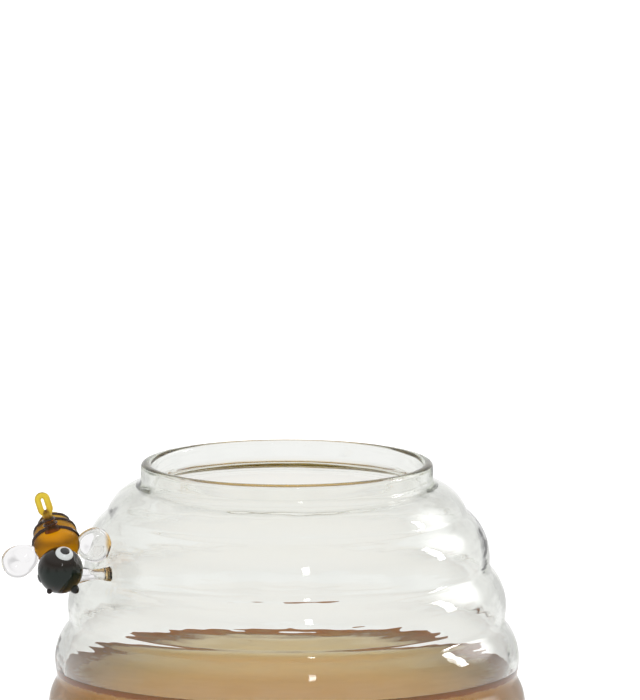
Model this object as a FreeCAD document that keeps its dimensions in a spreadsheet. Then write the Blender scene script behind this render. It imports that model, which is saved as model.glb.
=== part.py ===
import FreeCAD, Part
import Sketcher
import math
import os
import re
from FreeCAD import Placement, Rotation, Vector

# A clear glass honey pot in the shape of a beehive, half full of honey, with a small lampwork bee
# fused to its side. The origin is the centre of the base on the pot's axis and +Z is up. The bee is
# on the -X side, turned a little towards -Y. Lengths are in millimetres, angles in degrees.

SIZES = (
    # The pot's outside: the radii of the valleys between its ribs, counted from the top, their
    # heights, and how far each rib stands out from a straight line between its valleys.
    ("collar_radius", 29.9),
    ("collar_height", 4.4),
    ("shoulder_drop", 10.2),
    ("rib_pitch", 11.3),
    ("base_rib_height", 18.3),
    ("valley_radius_0", 36.8),
    ("valley_radius_1", 41.3),
    ("valley_radius_2", 44.3),
    ("valley_radius_3", 46.8),
    ("valley_radius_4", 47.3),
    ("valley_radius_5", 45.2),
    ("foot_radius", 36.2),
    ("shoulder_bulge", 1.3),
    ("rib_bulge", 1.7),
    ("base_rib_bulge", 6.3),
    ("valley_fillet", 2.4),
    ("neck_fillet", 1.6),
    # The glass, which is thicker in the floor and the collar, and the honey in it.
    ("glass_wall", 1.5),
    ("glass_floor", 3.6),
    ("collar_wall", 2.3),
    ("lip_round", 1.0),
    ("honey_level", 41.6),
    # Where the bee hangs: how far round from -X, how far below the rim and how far its waist is
    # from the glass, and which way it faces.
    ("bee_bearing", 20.0),
    ("bee_drop", 14.1),
    ("bee_reach", 9.8),
    ("bee_yaw", 8.0),
    ("bee_nose_down", 40.0),
    # The bee's body and head.
    ("abdomen_radius", 4.8),
    ("abdomen_length", 8.5),
    ("abdomen_tip_radius", 1.1),
    ("stripe_width", 0.8),
    ("stripe_proud", 0.25),
    ("head_radius", 4.65),
    ("head_distance", 7.4),
    ("eye_radius", 1.8),
    ("eye_proud", 0.55),
    ("pupil_radius", 1.0),
    ("pupil_proud", 0.3),
    ("feeler_radius", 0.75),
    # The rod that rises from its back and closes in an eyelet.
    ("stem_foot_radius", 1.5),
    ("stem_sink", 0.9),
    ("stem_length", 4.1),
    ("stem_lean", 42.0),
    ("stem_tilt", 18.0),
    ("rod_radius", 0.75),
    ("eyelet_bend", 1.1),
    ("eyelet_leg", 1.6),
    # Its wings, and the drop of glass that holds its head to the wall.
    ("wing_length", 7.8),
    ("wing_thickness", 1.6),
    ("wing_sink", 0.7),
    ("outer_wing_root_radius", 2.2),
    ("outer_wing_tip_radius", 3.2),
    ("inner_wing_root_radius", 2.3),
    ("inner_wing_tip_radius", 3.1),
    ("drop_radius", 1.7),
    ("drop_waist", 0.4),
    ("wall_bite", 0.9),
)
VALLEYS = 6

# How far behind the bee's waist its dark stripes lie, and how far up the stem its dark rings do.
STRIPE_PLACES = (0.5, 3.2, 5.4)
RING_PLACES = (1.7, 2.7)

document = FreeCAD.newDocument("HoneyPot")
sheet = document.addObject("Spreadsheet::Sheet", "Sizes")
for row, (alias, value) in enumerate(SIZES, start=1):
    sheet.set(f"A{row}", alias)
    sheet.set(f"B{row}", str(value))
    sheet.setAlias(f"B{row}", alias)
document.recompute()


def size(formula):
    """The number that a formula on the sheet's aliases stands for."""
    return float(sheet.evalExpression(formula))


def bound(formula):
    """The same formula, as an object outside the sheet has to spell it."""
    aliases = "|".join(alias for alias, _ in SIZES)
    return re.sub(rf"\b({aliases})\b", r"<<Sizes>>.\1", formula)


# ---------------------------------------------------------------- sketches and turned bodies

ORIGIN = (-1, 1)
ACROSS = -1
AXIS = -2
START, END, MIDDLE = 1, 2, 3


def new_sketch(body, name, role):
    """A sketch on one of the body's own origin planes."""
    plane = next(plane for plane in body.Origin.OriginFeatures if plane.Role == role)
    sketch = body.newObject("Sketcher::SketchObject", name)
    sketch.AttachmentSupport = [(plane, "")]
    sketch.MapMode = "FlatFace"
    return sketch


def fix_size(sketch, kind, places, name, formula):
    """A named dimension of a sketch that follows the sheet."""
    index = sketch.addConstraint(Sketcher.Constraint(kind, *places, size(formula)))
    sketch.renameConstraint(index, name)
    sketch.setExpression(f"Constraints.{name}", bound(formula))


def fix_corner(sketch, edge, end, name, radius, height):
    """Ties a corner to its radius and height. One at zero is laid on the axis that it lies on."""
    if size(radius) == 0:
        sketch.addConstraint(Sketcher.Constraint("PointOnObject", edge, end, AXIS))
    else:
        fix_size(sketch, "DistanceX", (*ORIGIN, edge, end), f"{name}_radius", radius)
    if size(height) == 0:
        sketch.addConstraint(Sketcher.Constraint("PointOnObject", edge, end, ACROSS))
    else:
        fix_size(sketch, "DistanceY", (*ORIGIN, edge, end), f"{name}_height", height)


def arc_over(start, end, bulge):
    """The arc from start to end that stands out to the right of its way by bulge, or to the left."""
    way = (end - start).normalize()
    return Part.Arc(start, (start + end) / 2 + Vector(way.y, -way.x, 0) * bulge, end)


def arc_radius(corner, following):
    """The radius of the arc between two corners, as a formula of its chord and its bulge."""
    _, radius, height, bulge = corner
    _, next_radius, next_height, _ = following
    chord = f"((({next_radius}) - ({radius}))^2 + (({next_height}) - ({height}))^2)"
    return f"{chord} / (8 * abs({bulge})) + abs({bulge}) / 2"


def turned_body(name, outline):
    """A body turned about its own Z axis. The outline runs up its outside and back down the axis.
    Each corner is (name, radius, height, bulge), and the bulge says how far the edge from there to
    the next corner stands out from a straight line, or is None where the edge is straight."""
    body = document.addObject("PartDesign::Body", name)
    sketch = new_sketch(body, f"{name}Outline", "XZ_Plane")
    pairs = list(zip(outline, outline[1:] + outline[:1]))
    edges = []
    for (_, radius, height, bulge), (_, next_radius, next_height, _) in pairs:
        start = Vector(size(radius), size(height), 0)
        end = Vector(size(next_radius), size(next_height), 0)
        if bulge is None:
            edges.append((sketch.addGeometry(Part.LineSegment(start, end), False), START, END))
        elif size(bulge) > 0:
            edges.append((sketch.addGeometry(arc_over(start, end, size(bulge)), False), START, END))
        else:
            edges.append((sketch.addGeometry(arc_over(start, end, size(bulge)), False), END, START))
    for (edge, _, last), (following, first, _) in zip(edges, edges[1:] + edges[:1]):
        sketch.addConstraint(Sketcher.Constraint("Coincident", edge, last, following, first))
    for (edge, first, _), (corner, following) in zip(edges, pairs):
        label, radius, height, bulge = corner
        fix_corner(sketch, edge, first, label, radius, height)
        if bulge is not None:
            fix_size(sketch, "Radius", (edge,), f"{label}_arc", arc_radius(corner, following))
    turn(body, sketch)
    return body


def turn(body, sketch):
    """Turns a closed sketch once round the body's Z axis."""
    turned = body.newObject("PartDesign::Revolution", f"{sketch.Name}Turned")
    turned.Profile = sketch
    turned.ReferenceAxis = (sketch, ["V_Axis"])
    turned.Angle = 360
    document.recompute()


def round_circles(body, name, circles, radius):
    """Fillets a body's circular edges, each found by its (radius, height)."""
    edges = []
    for index, edge in enumerate(body.Shape.Edges, start=1):
        if isinstance(edge.Curve, Part.Circle):
            here = Vector(edge.Curve.Radius, edge.Curve.Center.z, 0)
            if any(here.distanceToPoint(Vector(*circle, 0)) < 0.001 for circle in circles):
                edges.append(f"Edge{index}")
    unrounded = body.Tip
    fillet = body.newObject("PartDesign::Fillet", name)
    fillet.Base = (unrounded, edges)
    fillet.setExpression("Radius", bound(radius))
    document.recompute()


def cut(name, base, *tools):
    """The base less each of the tools. The last step carries the name."""
    for step, tool in enumerate(tools, start=1):
        trimmed = document.addObject("Part::Cut", name if step == len(tools) else f"{name}_step_{step}")
        trimmed.Base = base
        trimmed.Tool = tool
        document.recompute()
        base = trimmed
    return base


# ---------------------------------------------------------------- the glass pot and the honey

RIM = f"base_rib_height + rib_pitch * {VALLEYS - 1} + shoulder_drop"


def valley_height(index):
    """The height of a valley, counted from the top: the lowest lies on the base rib."""
    return f"base_rib_height + rib_pitch * {VALLEYS - 1 - index}"


def beehive(name, collar, top):
    """A base rib, five even ribs, a shoulder and a straight collar, up to a flat top."""
    outline = [("centre", "0", "0", None), ("foot", "foot_radius", "0", "base_rib_bulge")]
    for index in reversed(range(VALLEYS)):
        bulge = "rib_bulge" if index > 0 else "shoulder_bulge"
        outline.append((f"valley_{index}", f"valley_radius_{index}", valley_height(index), bulge))
    outline += [
        ("neck", collar, f"{RIM} - collar_height", None),
        ("rim", collar, top, None),
        ("top", "0", top, None),
    ]
    body = turned_body(name, outline)
    valleys = [(size(f"valley_radius_{index}"), size(valley_height(index))) for index in range(VALLEYS)]
    round_circles(body, f"{name}Valleys", valleys, "valley_fillet")
    round_circles(body, f"{name}Neck", [(size(collar), size(f"{RIM} - collar_height"))], "neck_fillet")
    return body


def pot_inside():
    """The space inside the glass. An even wall follows the ribs, and the floor is thicker. The form
    that the wall is counted from has a slimmer collar, which leaves the collar its own thickness,
    and reaches above the rim, which leaves the mouth open."""
    form = beehive("InsideForm", "collar_radius - collar_wall + glass_wall", f"{RIM} + glass_wall * 2")
    even = document.addObject("Part::Offset", "EvenWall")
    even.Source = form
    even.Mode = "Skin"
    even.Join = "Arc"
    even.setExpression("Value", bound("-glass_wall"))
    above = document.addObject("Part::Cylinder", "AboveFloor")
    above.setExpression("Radius", bound("valley_radius_4 * 2"))
    above.setExpression("Height", bound(f"{RIM} * 2"))
    above.setExpression("Placement.Base.z", bound("glass_floor"))
    inside = document.addObject("Part::Common", "PotInside")
    inside.Base = even
    inside.Tool = above
    document.recompute()
    return inside


def pot(outside, inside):
    """The glass, with both edges of its lip melted round."""
    shell = cut("PotShell", outside, inside)
    edges = [
        (index, size("lip_round"), size("lip_round"))
        for index, edge in enumerate(shell.Shape.Edges, start=1)
        if isinstance(edge.Curve, Part.Circle) and abs(edge.Curve.Center.z - size(RIM)) < 0.001
    ]
    melted = document.addObject("Part::Fillet", "jar")
    melted.Base = shell
    melted.Edges = edges
    document.recompute()
    return melted


def honey_in(inside):
    """The honey, which fills the inside up to a level surface."""
    filled = document.addObject("Part::Cylinder", "FilledHeight")
    filled.setExpression("Radius", bound("valley_radius_4 * 2"))
    filled.setExpression("Height", bound("honey_level"))
    honey = document.addObject("Part::Common", "honey")
    honey.Base = inside
    honey.Tool = filled
    document.recompute()
    return honey


outside = beehive("PotOutside", "collar_radius", RIM)
inside = pot_inside()
jar = pot(outside, inside)
honey = honey_in(inside)

# ---------------------------------------------------------------- where the bee is

# The bee's own frame has its origin at its waist: X points at the pot, Y at its tail and Z out of
# its back.


def wall_radius(height):
    """How far the outside of the pot reaches at a height."""
    ray = Part.makeLine(Vector(0, 0, height), Vector(size("valley_radius_4 * 2"), 0, height))
    return outside.Shape.common(ray).Length


def bee_seat():
    """The bee's frame, as a placement in the pot's."""
    height = size(f"{RIM} - bee_drop")
    distance = wall_radius(height) + size("bee_reach")
    bearing = math.radians(size("bee_bearing"))
    waist = Vector(-distance * math.cos(bearing), -distance * math.sin(bearing), height)
    return Placement(waist, Rotation(size("bee_yaw"), 0, size("bee_nose_down")))


bee_frame = bee_seat()


def place(piece, position=Vector(), rotation=Rotation()):
    """Sets a piece of the bee in its place in the bee's frame."""
    piece.Placement = bee_frame * Placement(position, rotation)
    document.recompute()
    return piece


def wall_distance(start):
    """How far a point of the bee's frame is from the pot along the frame's X axis."""
    reach = size("bee_reach * 3")
    ray = Part.makeLine(bee_frame.multVec(start), bee_frame.multVec(start + Vector(reach, 0, 0)))
    return reach - outside.Shape.common(ray).Length


# ---------------------------------------------------------------- the bee's head and body

TAILWARDS = Rotation(Vector(0, 0, 1), Vector(0, 1, 0))
POTWARDS = Rotation(Vector(0, 0, 1), Vector(1, 0, 0))
ABDOMEN_DROP = "(abdomen_radius - abdomen_tip_radius)"
ABDOMEN_ARC = f"((abdomen_length^2 + {ABDOMEN_DROP}^2) / (2 * {ABDOMEN_DROP}))"
head_middle = Vector(0, -size("head_distance"), 0)


def ball(name, middle, radius):
    """A round bead of glass."""
    bead = document.addObject("Part::Sphere", name)
    bead.setExpression("Radius", bound(radius))
    return place(bead, middle)


def on_head(name, way, radius, proud):
    """A bead sunk in the head, that stands proud of it by a little."""
    sunk = size(f"head_radius + {proud} - {radius}")
    return ball(name, head_middle + Vector(way).normalize() * sunk, radius)


def abdomen_radius_at(distance):
    """The body's radius at a distance behind its waist, on the long arc from there to its tip."""
    return f"abdomen_radius - {ABDOMEN_ARC} + sqrt({ABDOMEN_ARC}^2 - ({distance})^2)"


def abdomen_drop():
    """A drop of amber glass: a round front and a long taper to the tail, with the waist at zero."""
    chord = f"(abdomen_length^2 + {ABDOMEN_DROP}^2)"
    outline = [
        ("nose", "0", "-abdomen_radius", "abdomen_radius * (1 - sqrt(2) / 2)"),
        ("waist", "abdomen_radius", "0", f"{ABDOMEN_ARC} - sqrt({ABDOMEN_ARC}^2 - {chord} / 4)"),
        ("tip", "abdomen_tip_radius", "abdomen_length", None),
        ("tail", "0", "abdomen_length", None),
    ]
    return place(turned_body("AbdomenDrop", outline), rotation=TAILWARDS)


head = ball("bee_head", head_middle, "head_radius")
abdomen = cut("bee_abdomen", abdomen_drop(), head)

# One eye looks up off the head and one out to the free side: white beads with black pupils.
eye_ways = {"upper": Vector(0.10, 0.08, 0.99), "outer": Vector(-0.94, -0.22, -0.21)}
eyes = []
for side, way in eye_ways.items():
    white = on_head(f"EyeBead_{side}", way, "eye_radius", "eye_proud")
    black = on_head(f"PupilBead_{side}", way, "pupil_radius", "eye_proud + pupil_proud")
    eyes += [cut(f"bee_eye_{side}", white, head), cut(f"bee_pupil_{side}", black, head, white)]

# Two short feelers stand at the front of the head.
feeler_ways = {"outer": Vector(-2.6, -3.7, -2.3), "inner": Vector(3.1, -3.9, -1.8)}
feelers = []
for side, way in feeler_ways.items():
    tip = on_head(f"FeelerTip_{side}", way, "feeler_radius", "feeler_radius")
    feelers.append(cut(f"bee_feeler_{side}", tip, head))

# ---------------------------------------------------------------- the stem and its eyelet

stem_turn = Rotation(Vector(1, 0, 0), -size("stem_lean")) * Rotation(Vector(0, 1, 0), -size("stem_tilt"))
stem_foot = Vector(-1.1, -0.2, size("abdomen_radius - stem_sink"))


def add_stem(body):
    """A stem that narrows from its foot to the rod's thickness."""
    sketch = new_sketch(body, "StemOutline", "XZ_Plane")
    corners = (
        ("foot", "0", "0"),
        ("flare", "stem_foot_radius", "0"),
        ("shank", "rod_radius", "stem_length"),
        ("top", "0", "stem_length"),
    )
    points = [Vector(size(radius), size(height), 0) for _, radius, height in corners]
    edges = [
        sketch.addGeometry(Part.LineSegment(start, end), False)
        for start, end in zip(points, points[1:] + points[:1])
    ]
    for edge, following in zip(edges, edges[1:] + edges[:1]):
        sketch.addConstraint(Sketcher.Constraint("Coincident", edge, END, following, START))
    for edge, (name, radius, height) in zip(edges, corners):
        fix_corner(sketch, edge, START, name, radius, height)
    turn(body, sketch)


def add_eyelet(body):
    """The rod bent round into a closed eyelet, which stands on the stem."""
    low = "stem_length + eyelet_bend"
    bend, foot, head_end = size("eyelet_bend"), size(low), size(f"{low} + eyelet_leg")
    corners = [
        Vector(bend, foot, 0),
        Vector(bend, head_end, 0),
        Vector(-bend, head_end, 0),
        Vector(-bend, foot, 0),
    ]
    path = new_sketch(body, "EyeletPath", "XZ_Plane")
    right = path.addGeometry(Part.LineSegment(corners[0], corners[1]), False)
    over = path.addGeometry(arc_over(corners[1], corners[2], bend), False)
    left = path.addGeometry(Part.LineSegment(corners[2], corners[3]), False)
    under = path.addGeometry(arc_over(corners[3], corners[0], bend), False)
    for edge, following in ((right, over), (over, left), (left, under), (under, right)):
        path.addConstraint(Sketcher.Constraint("Tangent", edge, END, following, START))
    path.addConstraint(Sketcher.Constraint("Vertical", right))
    fix_size(path, "DistanceX", (*ORIGIN, right, START), "bend_right", "eyelet_bend")
    fix_size(path, "DistanceX", (left, END, *ORIGIN), "bend_left", "eyelet_bend")
    fix_size(path, "DistanceY", (*ORIGIN, right, START), "foot", low)
    fix_size(path, "DistanceY", (right, START, right, END), "leg", "eyelet_leg")
    section = new_sketch(body, "RodSection", "XY_Plane")
    section.setExpression("AttachmentOffset.Base.z", bound(low))
    rod = Part.Circle(Vector(bend, 0, 0), Vector(0, 0, 1), size("rod_radius"))
    circle = section.addGeometry(rod, False)
    section.addConstraint(Sketcher.Constraint("PointOnObject", circle, MIDDLE, ACROSS))
    fix_size(section, "DistanceX", (*ORIGIN, circle, MIDDLE), "bend", "eyelet_bend")
    fix_size(section, "Radius", (circle,), "rod", "rod_radius")
    document.recompute()
    pipe = body.newObject("PartDesign::AdditivePipe", "Eyelet")
    pipe.Profile = section
    pipe.Spine = (path, [f"Edge{number}" for number in (1, 2, 3, 4)])
    document.recompute()


eyelet_rod = document.addObject("PartDesign::Body", "EyeletRod")
add_eyelet(eyelet_rod)
add_stem(eyelet_rod)
place(eyelet_rod, stem_foot, stem_turn)
tail_loop = cut("bee_tail_loop", eyelet_rod, abdomen)

# ---------------------------------------------------------------- the dark threads

# Dark threads of glass are wound round the body and round the foot of the stem.


def wound_thread(name, radius_at, middle):
    """A thread laid round a turned piece, on the surface whose radius radius_at gives."""
    low, high = f"{middle} - stripe_width / 2", f"{middle} + stripe_width / 2"
    outline = [("low", radius_at(low), low, "stripe_proud"), ("high", radius_at(high), high, None)]
    return turned_body(name, outline)


def stem_radius_at(height):
    """The stem's radius at a height above its foot."""
    return f"stem_foot_radius - (stem_foot_radius - rod_radius) * ({height}) / stem_length"


threads = []
for number, distance in enumerate(STRIPE_PLACES, start=1):
    stripe = place(wound_thread(f"StripeThread_{number}", abdomen_radius_at, distance), rotation=TAILWARDS)
    threads.append(cut(f"bee_stripe_{number}", stripe, eyelet_rod))
for number, distance in enumerate(RING_PLACES, start=1):
    ring = place(wound_thread(f"StemThread_{number}", stem_radius_at, distance), stem_foot, stem_turn)
    threads.append(cut(f"bee_stem_ring_{number}", ring, abdomen))

# ---------------------------------------------------------------- the wings and the drop on the wall

WING_FACE = Vector(-0.14, -0.645, 0.75)
OUTER_WAY = Vector(-0.872, -0.274, -0.401)
INNER_WAY = Vector(0.984, 0, 0.177)
MELTED_ROUND = "wing_thickness * 0.45"


def leaf(name, length, root_radius, tip_radius):
    """A flat drop of glass with melted edges: a leaf that starts at its root and widens along X."""
    body = document.addObject("PartDesign::Body", name)
    sketch = new_sketch(body, f"{name}Outline", "XY_Plane")
    root_middle = Vector(size(root_radius), 0, 0)
    tip_middle = Vector(size(f"{length} - {tip_radius}"), 0, 0)
    lean = math.acos((size(root_radius) - size(tip_radius)) / (tip_middle.x - root_middle.x))
    above = Vector(math.cos(lean), math.sin(lean), 0)
    below = Vector(math.cos(lean), -math.sin(lean), 0)
    root_circle = Part.Circle(root_middle, Vector(0, 0, 1), size(root_radius))
    tip_circle = Part.Circle(tip_middle, Vector(0, 0, 1), size(tip_radius))
    root_top, tip_top = root_middle + above * size(root_radius), tip_middle + above * size(tip_radius)
    root_foot, tip_foot = root_middle + below * size(root_radius), tip_middle + below * size(tip_radius)
    tip = sketch.addGeometry(Part.ArcOfCircle(tip_circle, -lean, lean), False)
    upper = sketch.addGeometry(Part.LineSegment(tip_top, root_top), False)
    root = sketch.addGeometry(Part.ArcOfCircle(root_circle, lean, 2 * math.pi - lean), False)
    lower = sketch.addGeometry(Part.LineSegment(root_foot, tip_foot), False)
    for edge, following in ((tip, upper), (upper, root), (root, lower), (lower, tip)):
        sketch.addConstraint(Sketcher.Constraint("Tangent", edge, END, following, START))
    for label, arc, radius, middle in (
        ("root", root, root_radius, root_radius),
        ("tip", tip, tip_radius, f"{length} - {tip_radius}"),
    ):
        sketch.addConstraint(Sketcher.Constraint("PointOnObject", arc, MIDDLE, ACROSS))
        fix_size(sketch, "Radius", (arc,), f"{label}_radius", radius)
        fix_size(sketch, "DistanceX", (*ORIGIN, arc, MIDDLE), f"{label}_middle", middle)
    pad = body.newObject("PartDesign::Pad", f"{name}Pad")
    pad.Profile = sketch
    pad.Midplane = True
    pad.setExpression("Length", bound("wing_thickness"))
    document.recompute()
    rims = [
        f"Edge{index}"
        for index, edge in enumerate(body.Shape.Edges, start=1)
        if edge.BoundBox.ZLength < 0.001
    ]
    melted = body.newObject("PartDesign::Fillet", f"{name}Melted")
    melted.Base = (pad, rims)
    melted.setExpression("Radius", bound(MELTED_ROUND))
    document.recompute()
    return body


def wing(name, root, way, length, root_radius, tip_radius, *carriers):
    """A leaf that runs along a way from its root and is trimmed where it is melted to its carriers."""
    blade = leaf(f"{name}_leaf", length, root_radius, tip_radius)
    place(blade, root, Rotation(way, Vector(), WING_FACE, "XZY"))
    return cut(name, blade, *carriers)


# The outer wing is free and droops from the body's side. The inner wing stands across the gap to
# the pot, and is melted to the body and to the wall.
outer_root = Vector(-size("abdomen_radius"), -1.6, -0.8) - OUTER_WAY * size("wing_sink")
inner_root = Vector(size("abdomen_radius - wing_sink"), -1.6, 0.6)
inner_length = wall_distance(inner_root) + size("wall_bite")
outer_wing = wing(
    "bee_wing_outer", outer_root, OUTER_WAY, "wing_length",
    "outer_wing_root_radius", "outer_wing_tip_radius", abdomen,
)
inner_wing = wing(
    "bee_wing_inner", inner_root, INNER_WAY, f"{inner_length}",
    "inner_wing_root_radius", "inner_wing_tip_radius", abdomen, outside,
)


def drop_to_wall():
    """A waisted drop below the inner wing that holds the head to the wall."""
    side = head_middle + Vector(size("head_radius - wall_bite * 1.5"), 0.6, -1.9)
    length = f"{wall_distance(side) + size('wall_bite')}"
    outline = [
        ("head_end", "0", "0", None),
        ("head_edge", "drop_radius", "0", "-drop_waist"),
        ("wall_edge", "drop_radius * 1.2", length, None),
        ("wall_end", "0", length, None),
    ]
    drop = place(turned_body("WallDrop", outline), side, POTWARDS)
    return cut("bee_wall_drop", drop, head, outside)


wall_drop = drop_to_wall()

# ---------------------------------------------------------------- check and write

nodes = [jar, honey, head, abdomen, tail_loop, outer_wing, inner_wing, wall_drop]
nodes += threads + eyes + feelers

for item in document.Objects:
    if "Invalid" in item.State or "Error" in item.State:
        raise RuntimeError(f"{item.Label} failed: {item.State}")
for node in nodes:
    if node.Shape.isNull() or not node.Shape.isValid() or len(node.Shape.Solids) != 1:
        raise RuntimeError(f"{node.Label} isn't one valid solid")

os.makedirs("parts", exist_ok=True)
for node in nodes:
    node.Shape.exportStep(f"parts/{node.Label}.step")
    print(f"{node.Label}: {node.Shape.Volume:.2f} mm3")
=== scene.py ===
import math
import random

import bpy
import numpy as np
from mathutils import Matrix, Vector


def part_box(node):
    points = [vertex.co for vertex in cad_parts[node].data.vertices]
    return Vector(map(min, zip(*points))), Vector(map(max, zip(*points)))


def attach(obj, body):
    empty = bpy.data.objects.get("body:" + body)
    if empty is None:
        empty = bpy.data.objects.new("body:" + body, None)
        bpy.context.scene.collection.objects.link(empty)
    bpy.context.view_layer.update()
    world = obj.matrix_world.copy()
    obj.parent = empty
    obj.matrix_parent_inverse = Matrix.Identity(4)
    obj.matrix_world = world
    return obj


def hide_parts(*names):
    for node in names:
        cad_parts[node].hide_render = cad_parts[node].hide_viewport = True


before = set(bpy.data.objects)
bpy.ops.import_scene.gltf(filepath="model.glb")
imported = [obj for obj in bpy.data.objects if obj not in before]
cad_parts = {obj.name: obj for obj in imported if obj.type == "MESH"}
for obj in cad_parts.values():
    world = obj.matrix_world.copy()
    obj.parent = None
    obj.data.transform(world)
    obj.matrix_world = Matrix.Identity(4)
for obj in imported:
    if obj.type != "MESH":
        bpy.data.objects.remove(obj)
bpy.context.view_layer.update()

MM = 0.001

# ---------------------------------------------------------------- the glass pot
# A beehive blown from clear borosilicate glass: five even ribs and a rounder base rib under a
# shoulder and a straight collar. Its lip is melted round in the flame. It stands on a flat foot.

POT_STEPS = 320
WELD = 0.001 * MM
GLASS_IOR = 1.47
GLASS_HAZE = 0.02
POT_WAVES = 0.2 * MM
POT_TINT = (0.985, 0.988, 0.98, 1)
POT_SHADE = (0.965, 0.97, 0.955, 1)
POT_SOAK = (0.74, 0.77, 0.68)


def select_only(piece):
    """Makes a piece the only one that the next operators act on."""
    bpy.ops.object.select_all(action="DESELECT")
    piece.select_set(True)
    bpy.context.view_layer.objects.active = piece


def outline_of(node):
    """The outline of a CAD piece that is turned about Z, as (radius, height) points. A copy is cut
    through its axis, and the cut is followed on its +X side from the foot of the axis round."""
    select_only(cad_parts[node])
    bpy.ops.object.duplicate()
    slice_of_node = bpy.context.object
    bpy.ops.object.mode_set(mode="EDIT")
    bpy.ops.mesh.select_all(action="SELECT")
    bpy.ops.mesh.remove_doubles(threshold=WELD)
    bpy.ops.mesh.bisect(plane_co=(0, 0, 0), plane_no=(0, 1, 0), clear_inner=True, clear_outer=True)
    bpy.ops.object.mode_set(mode="OBJECT")
    places = [vertex.co.copy() for vertex in slice_of_node.data.vertices]
    joined = [[] for _ in places]
    for edge in slice_of_node.data.edges:
        first, second = edge.vertices
        joined[first].append(second)
        joined[second].append(first)
    bpy.data.objects.remove(slice_of_node)
    foot = min(place.z for place in places)
    beside_axis = [
        index for index, place in enumerate(places) if place.x > WELD and place.z < foot + WELD
    ]
    here = min(beside_axis, key=lambda index: places[index].x)
    before = min(joined[here], key=lambda index: places[index].x)
    outline = [(0.0, foot)]
    while places[here].x > WELD:
        outline.append((places[here].x, places[here].z))
        before, here = here, next(index for index in joined[here] if index != before)
    return outline + [(0.0, outline[-1][1])]


def turned(name, outline, steps):
    """A closed skin turned about Z. The outline is drawn point by point, and starts and ends on the
    axis."""
    bpy.ops.object.select_all(action="DESELECT")
    bpy.ops.mesh.primitive_plane_add(size=MM)
    piece = bpy.context.object
    piece.name = name
    bpy.ops.object.mode_set(mode="EDIT")
    bpy.ops.mesh.merge(type="CENTER")
    bpy.ops.transform.translate(value=(outline[0][0], 0, outline[0][1]))
    for (radius, height), (next_radius, next_height) in zip(outline, outline[1:]):
        way = (next_radius - radius, 0, next_height - height)
        bpy.ops.mesh.extrude_vertices_move(TRANSFORM_OT_translate={"value": way})
    bpy.ops.mesh.select_all(action="SELECT")
    bpy.ops.mesh.spin(steps=steps, angle=2 * math.pi, center=(0, 0, 0), axis=(0, 0, 1))
    bpy.ops.mesh.select_all(action="SELECT")
    bpy.ops.mesh.remove_doubles(threshold=WELD)
    bpy.ops.mesh.normals_make_consistent(inside=False)
    bpy.ops.object.mode_set(mode="OBJECT")
    bpy.ops.object.shade_smooth()
    return piece


class Value:
    """A number that varies over a surface. Python's arithmetic on it adds Math nodes."""

    def __init__(self, finish, socket):
        self.finish = finish
        self.socket = socket

    def __add__(self, other):
        return self.finish.maths("ADD", self, other)

    def __sub__(self, other):
        return self.finish.maths("SUBTRACT", self, other)

    def __rsub__(self, other):
        return self.finish.maths("SUBTRACT", other, self)

    def __mul__(self, other):
        return self.finish.maths("MULTIPLY", self, other)

    __radd__ = __add__
    __rmul__ = __mul__


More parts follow.
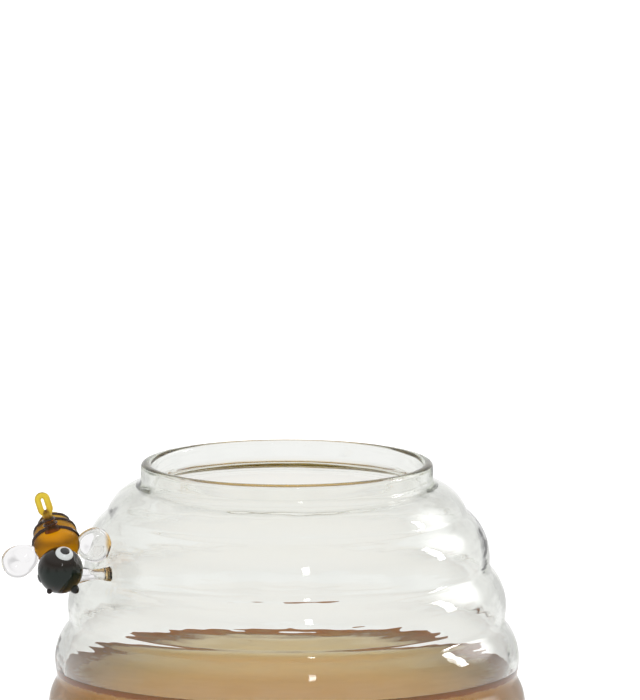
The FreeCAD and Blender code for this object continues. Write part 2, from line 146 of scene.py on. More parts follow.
class Finish:
    """The material of a piece, round one Principled shader whose fixed sockets are set by name."""

    def __init__(self, name, **sockets):
        self.material = bpy.data.materials.new(name)
        self.material.use_nodes = True
        self.tree = self.material.node_tree
        self.shader = self.tree.nodes["Principled BSDF"]
        self.output = self.tree.nodes["Material Output"]
        for socket, value in sockets.items():
            self.shader.inputs[socket.replace("_", " ")].default_value = value

    def node(self, kind, settings=None, inputs=None):
        """Adds a node, sets it up and then fills its sockets."""
        added = self.tree.nodes.new(kind)
        for setting, value in (settings or {}).items():
            setattr(added, setting, value)
        for socket, value in (inputs or {}).items():
            self.feed(added.inputs[socket], value)
        return added

    def feed(self, socket, value):
        """Links a socket to what varies, or sets it to what doesn't."""
        if isinstance(value, Value):
            self.tree.links.new(value.socket, socket)
        elif isinstance(value, bpy.types.NodeSocket):
            self.tree.links.new(value, socket)
        else:
            socket.default_value = value

    def value(self, output, kind, settings=None, inputs=None):
        """The number that a new node gives at one of its outputs."""
        return Value(self, self.node(kind, settings, inputs).outputs[output])

    def maths(self, operation, *numbers):
        """One Math node on numbers that vary or don't."""
        return self.value(0, "ShaderNodeMath", {"operation": operation}, dict(enumerate(numbers)))

    def place(self):
        """Where a point of the surface is, in the piece's own frame."""
        return self.node("ShaderNodeTexCoord").outputs["Object"]

    def noise(self, scale, detail=2.0, distortion=0.0, stretch=(1, 1, 1)):
        """A soft cloudy pattern from 0 to 1, with scale patches to the metre, or more by stretch
        along an axis."""
        place = self.node("ShaderNodeMapping", inputs={"Vector": self.place(), "Scale": stretch})
        inputs = {
            "Vector": place.outputs["Vector"], "Scale": scale, "Detail": detail,
            "Distortion": distortion,
        }
        return self.value("Fac", "ShaderNodeTexNoise", inputs=inputs)

    def along(self, start, end):
        """0 at one point of the piece and 1 at another, with an even change between."""
        way = end - start
        inputs = {0: self.place(), 1: start}
        ahead = self.node("ShaderNodeVectorMath", {"operation": "SUBTRACT"}, inputs)
        inputs = {0: ahead.outputs["Vector"], 1: way / way.length_squared}
        return self.value("Value", "ShaderNodeVectorMath", {"operation": "DOT_PRODUCT"}, inputs)

    def between(self, value, low, high):
        """0 where a value is under low and 1 where it is over high, and smooth between them."""
        inputs = {"Value": value, "From Min": low, "From Max": high}
        settings = {"interpolation_type": "SMOOTHSTEP"}
        return self.value("Result", "ShaderNodeMapRange", settings, inputs)

    def mixed(self, share, first, second):
        """One colour that turns into another as the share goes from 0 to 1."""
        inputs = {"Factor": share, 6: first, 7: second}
        return self.node("ShaderNodeMix", {"data_type": "RGBA"}, inputs).outputs[2]

    def paint(self, colour):
        """Gives the surface its colour, or clear glass its tint."""
        self.feed(self.shader.inputs["Base Color"], colour)

    def bump(self, height, depth):
        """Raises the surface by height times depth, in metres."""
        relief = self.node("ShaderNodeBump", inputs={"Height": height, "Distance": depth})
        self.feed(self.shader.inputs["Normal"], relief.outputs["Normal"])

    def soak(self, colour, density):
        """Colours the light that passes through the piece, more the further it goes."""
        inputs = {"Color": (*colour, 1), "Density": density}
        volume = self.node("ShaderNodeVolumeAbsorption", inputs=inputs)
        self.feed(self.output.inputs["Volume"], volume.outputs["Volume"])

    def onto(self, piece):
        """Makes this a piece's only material."""
        piece.data.materials.clear()
        piece.data.materials.append(self.material)


def flame_glass(name, waves):
    """Clear glass from the flame: soft waves that run round it, and a polish that varies."""
    glass = Finish(name, Transmission_Weight=1.0, IOR=GLASS_IOR)
    haze = glass.between(glass.noise(160, 4), 0.45, 0.8) * GLASS_HAZE
    glass.feed(glass.shader.inputs["Roughness"], haze)
    glass.bump(glass.noise(70, 1) + glass.noise(26, 3, stretch=(1, 1, 5)) * 1.5, waves)
    return glass


def hand_over(piece, node):
    """Lets a finished piece stand for its CAD node."""
    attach(piece, "root")
    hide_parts(node)


pot_outline = outline_of("jar")
pot = turned("glass_pot", pot_outline, POT_STEPS)
pot_glass = flame_glass("pot_glass", POT_WAVES)
pot_glass.paint(pot_glass.mixed(pot_glass.noise(45, 3), POT_TINT, POT_SHADE))
pot_glass.soak(POT_SOAK, density=75)
pot_glass.onto(pot)
hand_over(pot, "jar")

# ---------------------------------------------------------------- the honey
# Clear golden-brown honey, poured in. It wets the glass all round, creeps up it in a thin curve and
# reaches just into the wall, so that no film of air shows between them.

HONEY_STEPS = 256
SURFACE_STEPS = 60
HONEY_BITE = 0.15 * MM
CREEP_HEIGHT = 1.5 * MM
CREEP_LENGTH = 1.8 * MM
CREEP_ROUNDING = 0.03 * MM
HONEY_IOR = 1.49
HONEY_RIPPLE = 0.04 * MM
CLEAR_HONEY = (1.0, 0.97, 0.9, 1)
CLOUDY_HONEY = (0.96, 0.9, 0.8, 1)
MENISCUS_PAINTED_SHADE = (0.4, 0.15, 0.02, 1)
HONEY_SOAK = (0.89, 0.68, 0.0)
honey_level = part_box("honey")[1].z


def inside_radius(height):
    """How far from the axis the inside of the pot is at a height."""
    rim = max(range(len(pot_outline)), key=lambda index: pot_outline[index][1])
    inside = [(level, radius) for radius, level in reversed(pot_outline[rim:])]
    return float(np.interp(height, *zip(*inside)))


def honey_outline():
    """The wetted wall, pushed a little into the glass, and the surface with its curve at it."""
    wall = [point for point in outline_of("honey") if point[1] < honey_level - WELD]
    pushed = []
    for before, here, after in zip([(0, wall[0][1])] + wall, wall, wall[1:] + wall[-1:]):
        way = Vector((after[0] - before[0], after[1] - before[1])).normalized()
        pushed.append((here[0] + way.y * HONEY_BITE, here[1] - way.x * HONEY_BITE))
    pushed[0] = (0.0, pushed[0][1])
    edge = inside_radius(honey_level + CREEP_HEIGHT) + HONEY_BITE
    pushed.append((edge, honey_level + CREEP_HEIGHT - CREEP_ROUNDING))
    surface = []
    for step in range(SURFACE_STEPS):
        radius = edge * (1 - (step / SURFACE_STEPS) ** 2)
        creep = CREEP_HEIGHT * math.exp(-(edge - radius) / CREEP_LENGTH)
        surface.append((radius, honey_level + creep))
    return pushed + surface + [(0.0, honey_level)]


honey = turned("poured_honey", honey_outline(), HONEY_STEPS)
honey_finish = Finish("clear_honey", Transmission_Weight=1.0, IOR=HONEY_IOR)
clouded = honey_finish.mixed(honey_finish.noise(60, 4, 1.5), CLEAR_HONEY, CLOUDY_HONEY)
level_middle = Vector((0, 0, honey_level))
creep = honey_finish.along(level_middle, level_middle + Vector((0, 0, CREEP_HEIGHT)))
creep = creep + (honey_finish.noise(450, 3) - 0.5) * 0.5
# Painted shade: where the honey creeps up the wall its tint turns dark brown, standing in for the
# dark edge of the curved meniscus.
painted_meniscus_shade = honey_finish.between(creep, 0.04, 0.28)
honey_finish.paint(honey_finish.mixed(painted_meniscus_shade, clouded, MENISCUS_PAINTED_SHADE))
honey_finish.bump(honey_finish.noise(90, 2), HONEY_RIPPLE)
honey_finish.soak(HONEY_SOAK, density=49)
honey_finish.onto(honey)
hand_over(honey, "honey")

# ---------------------------------------------------------------- the bubbles
# Air that pouring carried down. Most of it has risen and drifted to the wall, where it sits just
# under the surface in an uneven fringe.

BUBBLES = 90
BUBBLE_RADII = (0.12 * MM, 0.5 * MM)
BUBBLES_AT_WALL = 0.6
WALL_FRINGE = (0.88, 0.97)
OPEN_HONEY = 0.85
DEEPEST_BUBBLE = 5 * MM
BUBBLE_FLATNESS = 0.85
AIR_CLEAR = (1, 1, 1, 1)
AIR_GOLDEN = (1, 0.96, 0.88, 1)
bubble_dice = random.Random(11)


def scattered_bubble():
    """Where one bubble is and how large."""
    size = bubble_dice.uniform(*BUBBLE_RADII)
    if bubble_dice.random() < BUBBLES_AT_WALL:
        share = bubble_dice.uniform(*WALL_FRINGE)
    else:
        share = math.sqrt(bubble_dice.random()) * OPEN_HONEY
    turn = bubble_dice.uniform(0, 2 * math.pi)
    depth = size * 1.3 + bubble_dice.random() ** 2 * DEEPEST_BUBBLE
    radius = inside_radius(honey_level - depth) * share
    place = Vector((radius * math.cos(turn), radius * math.sin(turn), honey_level - depth))
    return place, size


bpy.ops.object.select_all(action="DESELECT")
first_place, first_size = scattered_bubble()
bpy.ops.mesh.primitive_ico_sphere_add(subdivisions=2, radius=first_size, location=first_place)
bubbles = bpy.context.object
bubbles.name = "honey_bubbles"
bpy.ops.object.transform_apply(location=True)
bpy.ops.object.mode_set(mode="EDIT")
for _ in range(BUBBLES - 1):
    place, size = scattered_bubble()
    bpy.ops.mesh.primitive_ico_sphere_add(subdivisions=2, radius=size, location=place)
    bpy.ops.transform.resize(value=(1, 1, BUBBLE_FLATNESS), center_override=place)
bpy.ops.object.mode_set(mode="OBJECT")
bpy.ops.object.shade_smooth()
air = Finish("trapped_air", Transmission_Weight=1.0, IOR=1.2)
air.paint(air.mixed(air.noise(900), AIR_CLEAR, AIR_GOLDEN))
air.onto(bubbles)
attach(bubbles, "root")

# ---------------------------------------------------------------- the bee's amber body
# A drop of amber glass, drawn out to a tail in the flame: warm orange at its thick end and olive
# where it thins. The black head is melted onto its front.

BODY_STEPS = 96
BODY_LENGTH = 8.5 * MM
TAPER = 0.85
AMBER_IOR = 1.3
AMBER_RIPPLE = 0.04 * MM
BODY_ORANGE = (1.0, 0.6, 0.01, 1)
BODY_OLIVE = (0.62, 0.5, 0.04, 1)
BODY_SOAK = (0.94, 0.74, 0.0)
head_low, head_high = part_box("bee_head")
head_middle = (head_low + head_high) / 2
head_radius = (head_high.x - head_low.x) / 2


def places_of(node):
    """All points of a CAD node."""
    return [vertex.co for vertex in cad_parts[node].data.vertices]


def tail_tip():
    """The middle of the small flat end of the body, whose rim is what is furthest from the head."""
    distances = [(place - head_middle).length for place in places_of("bee_abdomen")]
    furthest = max(distances)
    rim = [
        place for place, distance in zip(places_of("bee_abdomen"), distances)
        if distance > furthest - 0.002 * MM
    ]
    return sum(rim, Vector()) / len(rim)


# The bee's own axes: X to the pot, Y to its tail and Z out of its back, from the head's middle.
tailwards = (tail_tip() - head_middle).normalized()
potwards = tailwards.cross(Vector((0, 0, 1))).normalized()
backwards = potwards.cross(tailwards)
bee_turn = Matrix((potwards, tailwards, backwards)).transposed().to_4x4()
bee_frame = Matrix.Translation(head_middle) @ bee_turn
Z_TO_TAIL = Matrix.Rotation(math.radians(-90), 4, "X")


def bee_place(*turns):
    """A place on the bee: its own axes, moved and turned one step after another."""
    place = bee_frame
    for turn in turns:
        place = place @ turn
    return place


def bee_box(node, *turns):
    """A node's lowest and highest corners in the bee's own axes, or in those axes turned."""
    inwards = bee_place(*turns).inverted()
    places = np.array([inwards @ place for place in places_of(node)])
    return Vector(places.min(axis=0)), Vector(places.max(axis=0))


def settle(piece, *turns):
    """Moves a finished piece to its place on the bee and makes that its mesh's own place."""
    piece.matrix_world = bee_place(*turns)
    select_only(piece)
    bpy.ops.object.transform_apply(location=True, rotation=True, scale=True)
    return piece


body_high = bee_box("bee_abdomen")[1]
body_radius = body_high.x
tail_end = body_high.y
waist = tail_end - BODY_LENGTH


def body_radius_at(along):
    """The body's radius at a distance behind the head's middle: round in front and then drawn out
    to a soft point."""
    if along < waist:
        return math.sqrt(max(body_radius ** 2 - (along - waist) ** 2, 0))
    share = (along - waist) / (tail_end - waist)
    return body_radius * max(1 - share ** 2, 0) ** TAPER


def body_outline():
    """A round front and a long taper to a melted tip."""
    turns = [math.pi * step / 60 for step in range(61)]
    nose = waist - body_radius
    places = [nose + (tail_end - nose) * (1 - math.cos(turn)) / 2 for turn in turns]
    return [(body_radius_at(place), place) for place in places]


def amber_glass(name, thick_end, thin_end, deep, pale):
    """Amber glass whose colour drifts from one end of the piece to the other."""
    amber = Finish(name, Transmission_Weight=1.0, IOR=AMBER_IOR)
    drift = amber.along(thick_end, thin_end) + (amber.noise(350, 3) - 0.5) * 0.5
    amber.paint(amber.mixed(amber.between(drift, 0.1, 0.9), deep, pale))
    amber.bump(amber.noise(300, 1), AMBER_RIPPLE)
    return amber


body = settle(turned("bee_amber_body", body_outline(), BODY_STEPS), Z_TO_TAIL)
body_start = bee_frame @ Vector((0, waist, 0))
body_end = bee_frame @ Vector((0, tail_end, 0))
body_glass = amber_glass("amber_glass", body_start, body_end, BODY_ORANGE, BODY_OLIVE)
body_glass.soak(BODY_SOAK, density=220)
body_glass.onto(body)
hand_over(body, "bee_abdomen")

# ---------------------------------------------------------------- the dark threads
# Threads of dark brown glass, drawn thin and wound round the body and the stem's foot while both
# were hot. They lie a little unevenly, as hand-wound threads do.

THREAD_THICKNESS = 0.85 * MM
THREAD_SINK = 0.15 * MM
THREAD_UNEVENNESS = 0.3
THREAD_RIPPLE = 0.03 * MM
DARK_BROWN = (0.018, 0.006, 0.001, 1)
WARM_BROWN = (0.06, 0.02, 0.003, 1)
HAND_WANDER = 2.5 * MM
thread_glass = Finish("brown_glass", Roughness=0.1, IOR=1.45)
thread_glass.paint(thread_glass.mixed(thread_glass.noise(700, 3), DARK_BROWN, WARM_BROWN))
thread_glass.bump(thread_glass.noise(900, 2), THREAD_RIPPLE)
unevenness = bpy.data.textures.new("uneven_hand", type="CLOUDS")
unevenness.noise_scale = HAND_WANDER


def roughened(piece, strength):
    """Moves a piece's surface in and out a little, as an uneven hand does."""
    select_only(piece)
    uneven = piece.modifiers.new("uneven", "DISPLACE")
    uneven.texture = unevenness
    uneven.texture_coords = "LOCAL"
    uneven.strength = strength
    bpy.ops.object.modifier_apply(modifier="uneven")


def wound_thread(name, radius, thickness):
    """A ring of thread, a little thicker in one place and thinner in another."""
    bpy.ops.object.select_all(action="DESELECT")
    bpy.ops.mesh.primitive_torus_add(
        major_radius=radius, minor_radius=thickness / 2, major_segments=96, minor_segments=16
    )
    ring = bpy.context.object
    ring.name = name
    roughened(ring, thickness * THREAD_UNEVENNESS)
    bpy.ops.object.shade_smooth()
    thread_glass.onto(ring)
    return ring


for number in (1, 2, 3):
    low, high = bee_box(f"bee_stripe_{number}")
    middle = (low.y + high.y) / 2
    wound_radius = body_radius_at(middle) - THREAD_SINK
    thread = wound_thread(f"bee_thread_{number}", wound_radius, THREAD_THICKNESS)
    settle(thread, Matrix.Translation((0, middle, 0)), Z_TO_TAIL)
    hand_over(thread, f"bee_stripe_{number}")

# ---------------------------------------------------------------- the stem and its eyelet
# A rod of amber glass melted to the bee's back, where it flares. It is drawn up and bent round
# into a long closed eyelet, and two thin threads are wound round its foot.

STEM_LEAN = math.radians(42)
STEM_TILT = math.radians(18)
STEM_LENGTH = 4.1 * MM
EYELET_BEND = 0.9 * MM
EYELET_LEG = 2.0 * MM
ROD_RADIUS = 0.65 * MM
NECK_RADIUS = 1.0 * MM
FLARE = 0.65 * MM
THICK_SIDE = 1.15
MELT = 0.11 * MM
EYELET_DEEP = (0.84, 0.52, 0.05, 1)
EYELET_PALE = (0.84, 0.66, 0.08, 1)
EYELET_SOAK = (0.9, 0.74, 0.05)
STEM_THREAD_HEIGHTS = (1.7 * MM, 2.7 * MM)
STEM_THREAD_THICKNESS = 0.5 * MM
STEM_THREAD_LIFT = 0.05 * MM
stem_turn = Matrix.Rotation(-STEM_LEAN, 4, "X") @ Matrix.Rotation(-STEM_TILT, 4, "Y")
stem_low, stem_high = bee_box("bee_tail_loop", stem_turn)
stem_foot = stem_high.z - STEM_LENGTH - 2 * EYELET_BEND - EYELET_LEG - ROD_RADIUS
stem_side = (stem_low.x + stem_high.x) / 2
stem_back = stem_high.y - ROD_RADIUS * 2
stem_place = stem_turn @ Matrix.Translation((stem_side, stem_back, stem_foot))


def stem_radius_at(height):
    """The stem's radius at a height above its foot: it flares where it is melted on."""
    return NECK_RADIUS + FLARE * (1 - height / STEM_LENGTH) ** 1.6


def stem_outline():
    """The flared stem, from under its foot up into the eyelet."""
    heights = [STEM_LENGTH * step / 12 for step in range(13)]
    side = [(stem_radius_at(height), height) for height in heights]
    top = [(NECK_RADIUS * 0.6, STEM_LENGTH * 1.12), (0.0, STEM_LENGTH * 1.16)]
    return [(0.0, 0.0)] + side + top


def pick(piece, wanted):
    """Opens a piece in edit mode with only the points selected whose places are wanted."""
    select_only(piece)
    bpy.ops.object.mode_set(mode="EDIT")
    bpy.ops.mesh.select_all(action="DESELECT")
    bpy.ops.object.mode_set(mode="OBJECT")
    for vertex in piece.data.vertices:
        vertex.select = wanted(vertex.co)
    bpy.ops.object.mode_set(mode="EDIT")


def eyelet():
    """A ring of rod, drawn out long, and thicker on the side where the rod began."""
    bpy.ops.object.select_all(action="DESELECT")
    middle = STEM_LENGTH + EYELET_BEND
    bpy.ops.mesh.primitive_torus_add(
        major_radius=EYELET_BEND, minor_radius=ROD_RADIUS, major_segments=64, minor_segments=24,
        rotation=(math.radians(90), 0, 0), location=(0, 0, middle),
    )
    ring = bpy.context.object
    bpy.ops.object.transform_apply(location=True, rotation=True)
    pick(ring, lambda place: place.z > middle + WELD)
    bpy.ops.transform.translate(value=(0, 0, EYELET_LEG))
    bpy.ops.object.mode_set(mode="OBJECT")
    pick(ring, lambda place: place.x > EYELET_BEND * 0.4)
    rod_middle = (EYELET_BEND, 0, middle + EYELET_LEG / 2)
    bpy.ops.transform.resize(value=(THICK_SIDE, THICK_SIDE, 1), center_override=rod_middle)
    bpy.ops.object.mode_set(mode="OBJECT")
    return ring


def melted_together(piece, other, size):
    """Joins two pieces of hot glass into one skin with soft corners."""
    select_only(piece)
    other.select_set(True)
    bpy.ops.object.join()
    melt = piece.modifiers.new("melt", "REMESH")
    melt.mode = "VOXEL"
    melt.voxel_size = size
    flow = piece.modifiers.new("flow", "SMOOTH")
    flow.factor = 0.6
    flow.iterations = 10
    bpy.ops.object.modifier_apply(modifier="melt")
    bpy.ops.object.modifier_apply(modifier="flow")
    bpy.ops.object.shade_smooth()
    return piece


loop = melted_together(turned("bee_eyelet", stem_outline(), 32), eyelet(), MELT)
settle(loop, stem_place)
loop_foot = bee_place(stem_place).translation
loop_top = bee_place(stem_place) @ Vector((0, 0, stem_high.z - stem_foot))
loop_glass = amber_glass("olive_amber_glass", loop_foot, loop_top, EYELET_DEEP, EYELET_PALE)
loop_glass.soak(EYELET_SOAK, density=260)
loop_glass.onto(loop)
hand_over(loop, "bee_tail_loop")

for number, height in enumerate(STEM_THREAD_HEIGHTS, start=1):
    wound_radius = stem_radius_at(height) + STEM_THREAD_LIFT
    ring = wound_thread(f"bee_stem_thread_{number}", wound_radius, STEM_THREAD_THICKNESS)
    settle(ring, stem_place, Matrix.Translation((0, 0, height)))
    hand_over(ring, f"bee_stem_ring_{number}")

# ---------------------------------------------------------------- the head and its feelers
# A gather of black glass, rounded in the flame and melted onto the body. Its near-black colour is
# painted brown at the top and green lower down as painted reflections of the surroundings, and
# turns reddish at the very bottom. Two nubs pulled from it at the front are the feelers.

HEAD_RISE = 0.4 * MM
HEAD_STRETCH = 1.08
HEAD_UNEVENNESS = 0.03
BEAD_UNEVENNESS = 0.06
OUTER_NUB_RADIUS = 0.62 * MM
INNER_NUB_RADIUS = 0.95 * MM
NUB_STRETCH = 1.4
NUB_SINK = 0.25 * MM
BLACK_RIPPLE = 0.03 * MM
TOP_REFLECTION_BROWN = (0.014, 0.008, 0.004, 1)
LOWER_REFLECTION_GREEN = (0.005, 0.012, 0.008, 1)
RED_BLACK = (0.012, 0.003, 0.001, 1)
black_glass = Finish("black_glass", Roughness=0.08, IOR=1.42)
head_top = head_middle + Vector((0, 0, head_radius))
head_bottom = head_middle - Vector((0, 0, head_radius))
# Painted reflections: dark brown towards the top and green lower down; the very bottom is turned
# reddish.
downwards = black_glass.along(head_top, head_bottom) + (black_glass.noise(250, 3) - 0.5) * 0.25
painted_reflections = black_glass.mixed(
    black_glass.between(downwards, 0.25, 0.5), TOP_REFLECTION_BROWN, LOWER_REFLECTION_GREEN
)
black_glass.paint(
    black_glass.mixed(black_glass.between(downwards, 0.72, 0.95), painted_reflections, RED_BLACK)
)
black_glass.bump(black_glass.noise(400, 1), BLACK_RIPPLE)


def bead(name, radius, stretch, unevenness_share=BEAD_UNEVENNESS):
    """A drop of hot glass, drawn out or pressed flat, with a little of the hand in it."""
    bpy.ops.object.select_all(action="DESELECT")
    bpy.ops.mesh.primitive_uv_sphere_add(segments=64, ring_count=32, radius=radius)
    drop = bpy.context.object
    drop.name = name
    bpy.ops.object.mode_set(mode="EDIT")
    bpy.ops.transform.resize(value=(1, 1, stretch))
    bpy.ops.object.mode_set(mode="OBJECT")
    roughened(drop, radius * unevenness_share)
    bpy.ops.object.shade_smooth()
    return drop


def way_to(node):
    """The way from the head's middle to a node on it, in the bee's own axes."""
    low, high = bee_box(node)
    return ((low + high) / 2).normalized()


def pressed_on(piece, way, distance):
    """Settles a bead on the head, so that its middle is at a distance from the head's."""
    facing = way.to_track_quat("Z", "Y").to_matrix().to_4x4()
    return settle(piece, Matrix.Translation(way * distance), facing)


head = bead("bee_black_head", head_radius, HEAD_STRETCH, HEAD_UNEVENNESS)
settle(head, Matrix.Translation((0, 0, HEAD_RISE)))
black_glass.onto(head)
hand_over(head, "bee_head")

for side, radius in (("outer", OUTER_NUB_RADIUS), ("inner", INNER_NUB_RADIUS)):
    nub = bead(f"bee_nub_{side}", radius, NUB_STRETCH)
    pressed_on(nub, way_to(f"bee_feeler_{side}"), head_radius - NUB_SINK)
    black_glass.onto(nub)
    hand_over(nub, f"bee_feeler_{side}")

# ---------------------------------------------------------------- the eyes
# Each eye is a bead of white glass pressed flat on the head while both were hot. A smaller bead
# of black glass is pressed into its middle. The outer eye sank deeper into the head.

WHITE_RADIUS = 1.85 * MM
WHITE_FLATNESS = 0.5
WHITE_RIPPLE = 0.02 * MM
PUPIL_RADIUS = 1.0 * MM
PUPIL_FLATNESS = 0.45
PUPIL_LIFT = 0.72 * MM
UPPER_EYE_LIFT = 0.42 * MM
OUTER_EYE_LIFT = -1.0 * MM
MILK_WHITE = (0.86, 0.88, 0.87, 1)
GREY_WHITE = (0.72, 0.76, 0.76, 1)
PUPIL_BLACK = (0.004, 0.004, 0.005, 1)
PUPIL_GREY = (0.012, 0.01, 0.01, 1)
white_glass = Finish("white_glass", Roughness=0.06, IOR=1.5, Coat_Weight=0.3)
white_glass.paint(white_glass.mixed(white_glass.noise(600, 3), MILK_WHITE, GREY_WHITE))
white_glass.bump(white_glass.noise(700, 1), WHITE_RIPPLE)
pupil_glass = Finish("black_pupil_glass", Roughness=0.04, IOR=1.5, Coat_Weight=0.5)
pupil_glass.paint(pupil_glass.mixed(pupil_glass.noise(800, 2), PUPIL_BLACK, PUPIL_GREY))
for side, lift in (("upper", UPPER_EYE_LIFT), ("outer", OUTER_EYE_LIFT)):
    eye_way = way_to(f"bee_eye_{side}")
    white = bead(f"bee_white_{side}", WHITE_RADIUS, WHITE_FLATNESS)
    pressed_on(white, eye_way, head_radius + lift)
    white_glass.onto(white)
    hand_over(white, f"bee_eye_{side}")
    black = bead(f"bee_dot_{side}", PUPIL_RADIUS, PUPIL_FLATNESS)
    pressed_on(black, eye_way, head_radius + lift + PUPIL_LIFT)
    pupil_glass.onto(black)
    hand_over(black, f"bee_pupil_{side}")

# ---------------------------------------------------------------- the wings
# Gathers of clear glass pressed flat with paddles, so that their faces are a little hollow and
# their rims round. The outer wing droops from the body, and the inner one reaches the pot's wall.

WING_FACE = Vector((-0.14, -0.645, 0.75))
OUTER_WAY = Vector((-0.872, -0.274, -0.401))
INNER_WAY = Vector((0.984, 0, 0.177))
OUTER_NARROWING = 0.4
INNER_NARROWING = 0.2
INNER_BREADTH = 1.15
WING_STEPS = 96
WING_HOLLOW = 0.35
WING_UNEVENNESS = 0.1
ROOT_BITE = 0.5 * MM
TIP_TRIM = 0.1 * MM
WING_WAVES = 0.03 * MM
WING_CLEAR = (0.97, 0.96, 0.965, 1)
STREAK_LENGTH = 0.12
OUTER_STREAK = (0.75, 0.78, 0.3, 1)
OUTER_STREAK_START = 0.97
INNER_STREAK = (0.72, 0.45, 0.12, 1)
INNER_STREAK_START = 0.8


def wing_turn(way):
    """A wing's own axes in the bee's: X along it and Z out of its face."""
    along = way.normalized()
    across = WING_FACE.cross(along).normalized()
    return Matrix((along, across, along.cross(across))).transposed().to_4x4()


def paddle_outline(radius, rim):
    """Half the section of a pressed round: a round rim and faces that are hollow in the middle."""
    flat = radius - rim
    face = []
    for step in range(17):
        share = step / 16
        hollow = WING_HOLLOW * math.cos(math.pi / 2 * share) ** 2
        face.append((flat * share, rim * (1 - hollow)))
    turns = [math.pi * step / 16 - math.pi / 2 for step in range(1, 16)]
    edge = [(flat + rim * math.cos(turn), rim * math.sin(turn)) for turn in turns]
    return [(reach, -height) for reach, height in face] + edge + face[::-1]


def pressed_wing(name, node, way, narrowing, breadth=1.0):
    """A wing as long and thick as its node, as broad or a little broader, and narrower at its
    root."""
    turn = wing_turn(way)
    low, high = bee_box(node, turn)
    low.x -= ROOT_BITE
    high.x -= TIP_TRIM
    half = (high - low) / 2
    wing = turned(name, paddle_outline(half.y, half.z), WING_STEPS)
    select_only(wing)
    bpy.ops.object.mode_set(mode="EDIT")
    bpy.ops.mesh.select_all(action="SELECT")
    bpy.ops.transform.resize(value=(half.x / half.y, breadth, 1))
    bpy.ops.object.mode_set(mode="OBJECT")
    taper = wing.modifiers.new("taper", "SIMPLE_DEFORM")
    taper.deform_method = "TAPER"
    taper.deform_axis = "X"
    taper.factor = narrowing
    bpy.ops.object.modifier_apply(modifier="taper")
    roughened(wing, half.z * WING_UNEVENNESS)
    settle(wing, turn, Matrix.Translation((low + high) / 2))
    root, tip = (bee_place(turn) @ Vector((end, 0, 0)) for end in (low.x, high.x))
    return wing, root, tip


def wing_glass(name, root, tip, streak, start):
    """Clear glass with a streak of amber drawn into it, which starts at a share of the way from
    the root to the tip."""
    glass = flame_glass(name, WING_WAVES)
    share = glass.along(root, tip) + (glass.noise(300, 2) - 0.5) * 0.25
    streaked = glass.between(share, start, start + STREAK_LENGTH)
    glass.paint(glass.mixed(streaked, WING_CLEAR, streak))
    return glass


outer_wing, root, tip = pressed_wing(
    "bee_clear_wing_outer", "bee_wing_outer", OUTER_WAY, OUTER_NARROWING
)
wing_glass("clear_wing_glass", root, tip, OUTER_STREAK, OUTER_STREAK_START).onto(outer_wing)
hand_over(outer_wing, "bee_wing_outer")
inner_wing, root, tip = pressed_wing(
    "bee_clear_wing_inner", "bee_wing_inner", INNER_WAY, INNER_NARROWING, INNER_BREADTH
)
wing_glass("streaked_wing_glass", root, tip, INNER_STREAK, INNER_STREAK_START).onto(inner_wing)
hand_over(inner_wing, "bee_wing_inner")

# ---------------------------------------------------------------- the drop on the wall
# A short waisted drop of clear glass under the inner wing. It was laid on hot between the head
# and the pot, with some amber in its foot, and holds the head to the wall.

DROP_STEPS = 64
DROP_WAIST = 0.2
DROP_UNEVENNESS = 0.15
Z_TO_POT = Matrix.Rotation(math.radians(90), 4, "Y")
drop_low, drop_high = bee_box("bee_wall_drop")
drop_radius = (drop_high.z - drop_low.z) / 2
drop_start = drop_low.x - ROOT_BITE


def drop_outline():
    """The drop from the head to the wall, thinnest a little past the middle of the way."""
    length = drop_high.x - drop_start
    side = []
    for step in range(25):
        share = step / 24
        swell = DROP_WAIST * math.cos(2 * math.pi * (share * 0.75 + 0.05))
        side.append((drop_radius * (1 - DROP_WAIST + swell), length * share))
    return [(0.0, 0.0)] + side + [(0.0, length)]


wall_drop = turned("bee_clear_drop", drop_outline(), DROP_STEPS)
roughened(wall_drop, drop_radius * DROP_UNEVENNESS)
drop_middle = (drop_low + drop_high) / 2
root = Vector((drop_start, drop_middle.y, drop_middle.z))
foot = Vector((drop_high.x, drop_middle.y, drop_middle.z))
settle(wall_drop, Matrix.Translation(root), Z_TO_POT)
drop_glass = wing_glass(
    "clear_drop_glass", bee_frame @ root, bee_frame @ foot, INNER_STREAK, INNER_STREAK_START
)
drop_glass.onto(wall_drop)
hand_over(wall_drop, "bee_wall_drop")

# ---------------------------------------------------------------- the table
# A plain pale table that goes on out of sight. In the glass and its gloss it glows as a lit table
# does, with the studio's dark strips on it. Seen directly it is white round the pot's shadow.

NEAR_FILL = 0.42
FAR_FILL = 0.5
TABLE_GLOW = 0.97
PANELS = 8
STRIP_EDGE = (-0.85, 0.1)
STRIP_DARKNESS = 0.6
STRIPS_START = 0.22
GLOSS_SHARE = 0.5
bpy.ops.object.select_all(action="DESELECT")
bpy.ops.mesh.primitive_circle_add(vertices=64, radius=8, fill_type="NGON")
table = bpy.context.object
table.name = "table"
table_finish = Finish("pale_table", Base_Color=(0.9, 0.9, 0.9, 1), Roughness=0.9)


def from_middle(finish, place):
    """How far a place is from the middle of the studio."""
    return finish.value("Value", "ShaderNodeVectorMath", {"operation": "LENGTH"}, {0: place})


def light_round(finish, place, near=0.0):
    """How bright the studio is round about, 1 in the panels and less in the strips between them.
    Nothing under the near distance from the middle is darkened."""
    parts = finish.node("ShaderNodeSeparateXYZ", inputs={0: place}).outputs
    turn = finish.maths("ARCTAN2", parts["Y"], parts["X"]) * PANELS
    panel = finish.between(finish.maths("COSINE", turn), *STRIP_EDGE)
    beyond = finish.between(from_middle(finish, place), near, near + 0.2)
    return 1 - (1 - panel) * beyond * STRIP_DARKNESS


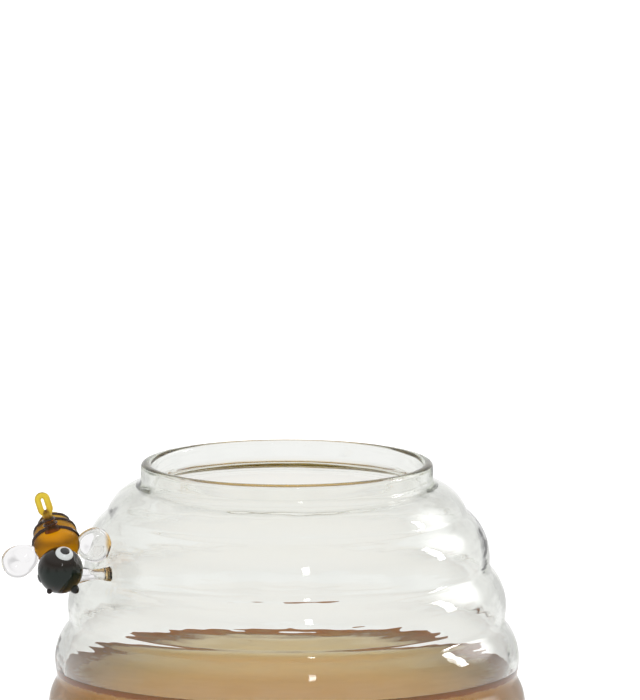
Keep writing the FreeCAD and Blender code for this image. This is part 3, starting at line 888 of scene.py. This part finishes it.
table_place = table_finish.place()
seen = table_finish.node("ShaderNodeLightPath").outputs
in_gloss = Value(table_finish, seen["Is Glossy Ray"])
table_light = light_round(table_finish, table_place, STRIPS_START)
table_light = table_light + (1 - table_light) * in_gloss * GLOSS_SHARE
glow = table_finish.node(
    "ShaderNodeEmission", inputs={"Color": table_light, "Strength": TABLE_GLOW}
)
in_glass = table_finish.maths("MAXIMUM", seen["Is Transmission Ray"], in_gloss)
lit = table_finish.node(
    "ShaderNodeMixShader",
    inputs={"Fac": in_glass, 1: table_finish.shader.outputs[0], 2: glow.outputs[0]},
)
far_off = table_finish.between(from_middle(table_finish, table_place), 0.1, 0.9)
paleness = NEAR_FILL + far_off * (FAR_FILL - NEAR_FILL)
fill = table_finish.node("ShaderNodeEmission", inputs={"Color": paleness, "Strength": 1})
filled = table_finish.node("ShaderNodeAddShader", inputs={0: lit.outputs[0], 1: fill.outputs[0]})
shown = table_finish.node(
    "ShaderNodeMixShader",
    inputs={"Fac": seen["Is Camera Ray"], 1: lit.outputs[0], 2: filled.outputs[0]},
)
table_finish.feed(table_finish.output.inputs["Surface"], shown.outputs[0])
table_finish.onto(table)

# ---------------------------------------------------------------- the studio
# Soft white panels stand round the object. The darker strips between them give the clear glass its
# outlines, and a window and two narrow lamps give it its highlights.

WHITE = (1, 1, 1, 1)
STUDIO_RISE = [(-1, 1), (0, 1), (0.2, 0.8), (0.4, 0.55), (0.7, 0.9), (1, 1.0)]
STRIPS_TOP = (0.02, 0.22)
WINDOW_BEARING = math.radians(58)
WINDOW_RISE = math.radians(26)
WINDOW_CORE = math.radians(1)
WINDOW_EDGE = math.radians(19)
WINDOW_STRENGTH = 2.5
world = bpy.data.worlds.new("studio")
bpy.context.scene.world = world
world.use_nodes = True


class Studio(Finish):
    """The studio round the object, which uses the same way of wiring as a finish."""

    def __init__(self):
        self.tree = world.node_tree
        self.tree.nodes.clear()
        self.output = self.node("ShaderNodeOutputWorld")

    def ramp(self, value, stops):
        """A grey that follows the stops, each a value from -1 to 1 and its brightness."""
        ramp = self.node("ShaderNodeValToRGB", inputs={0: (value + 1) * 0.5})
        marks = ramp.color_ramp.elements
        for mark, (place, grey) in zip(marks, (stops[0], stops[-1])):
            mark.position = (place + 1) / 2
            mark.color = (grey, grey, grey, 1)
        for place, grey in stops[1:-1]:
            added = marks.new((place + 1) / 2)
            added.color = (grey, grey, grey, 1)
        return Value(self, ramp.outputs["Color"])


studio = Studio()
outwards = studio.node("ShaderNodeTexCoord").outputs["Generated"]
height = Value(studio, studio.node("ShaderNodeSeparateXYZ", inputs={0: outwards}).outputs["Z"])
seen = studio.node("ShaderNodeLightPath").outputs
strips = 1 - light_round(studio, outwards)
strips = strips * (1 - studio.between(height, *STRIPS_TOP))
strips = strips * (1 - Value(studio, seen["Is Glossy Ray"]) * GLOSS_SHARE)


def way_out(bearing, rise):
    """The way to a place in the studio. Its bearing is counted from the back to the right."""
    flat = math.cos(rise)
    return Vector((math.sin(bearing) * flat, math.cos(bearing) * flat, math.sin(rise)))


inputs = {0: outwards, 1: way_out(WINDOW_BEARING, WINDOW_RISE)}
facing = studio.value("Value", "ShaderNodeVectorMath", {"operation": "DOT_PRODUCT"}, inputs)
window = studio.between(facing, math.cos(WINDOW_EDGE), math.cos(WINDOW_CORE)) * WINDOW_STRENGTH
brightness = studio.ramp(height, STUDIO_RISE) * (1 - strips) + window
around = studio.node("ShaderNodeBackground", inputs={"Color": WHITE, "Strength": brightness})
plain = studio.node("ShaderNodeBackground", inputs={"Color": WHITE, "Strength": 1})
shown = studio.node(
    "ShaderNodeMixShader",
    inputs={"Fac": seen["Is Camera Ray"], 1: around.outputs[0], 2: plain.outputs[0]},
)
studio.feed(studio.output.inputs["Surface"], shown.outputs[0])

LAMP_TARGET = Vector((0, 0, 0.05))


def narrow_lamp(name, bearing, height, distance, size, power):
    """A narrow lamp that looks at the pot, with its size across and up, and its power in watts."""
    place = way_out(math.radians(bearing), 0) * distance + Vector((0, 0, height))
    bpy.ops.object.light_add(type="AREA", location=place)
    lamp = bpy.context.object
    lamp.name = name
    lamp.rotation_euler = (LAMP_TARGET - place).to_track_quat("-Z", "Y").to_euler()
    lamp.data.shape = "RECTANGLE"
    lamp.data.size, lamp.data.size_y = size
    lamp.data.energy = power


narrow_lamp("window_light", bearing=78, height=0.6, distance=1.2, size=(0.1, 0.45), power=3.2)
narrow_lamp("front_light", bearing=168, height=0.85, distance=1.4, size=(0.08, 0.3), power=0.8)

# ---------------------------------------------------------------- the camera
# It stands far off, so that its view is nearly parallel. It looks a little down, and frames the
# bee and the upper half of the pot.

CAMERA_DISTANCE = 5
CAMERA_RISE = math.radians(9.2)
VIEW_HEIGHT = 142.86 * MM
VIEW_RIGHT = 6.73 * MM
VIEW_UP = 22.86 * MM
rim = Vector((0, 0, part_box("jar")[1].z))
bpy.ops.object.camera_add(
    location=rim + Vector((0, -math.cos(CAMERA_RISE), math.sin(CAMERA_RISE))) * CAMERA_DISTANCE,
    rotation=(math.pi / 2 - CAMERA_RISE, 0, 0),
)
camera = bpy.context.object
camera.data.sensor_width = 36
camera.data.lens = camera.data.sensor_width * CAMERA_DISTANCE / VIEW_HEIGHT
camera.data.shift_x = VIEW_RIGHT / VIEW_HEIGHT
camera.data.shift_y = VIEW_UP / VIEW_HEIGHT
bpy.context.scene.camera = camera

scene = bpy.context.scene
scene.view_settings.view_transform = "Standard"
scene.cycles.max_bounces = 32
scene.cycles.transmission_bounces = 32
scene.cycles.glossy_bounces = 16
scene.cycles.transparent_max_bounces = 16
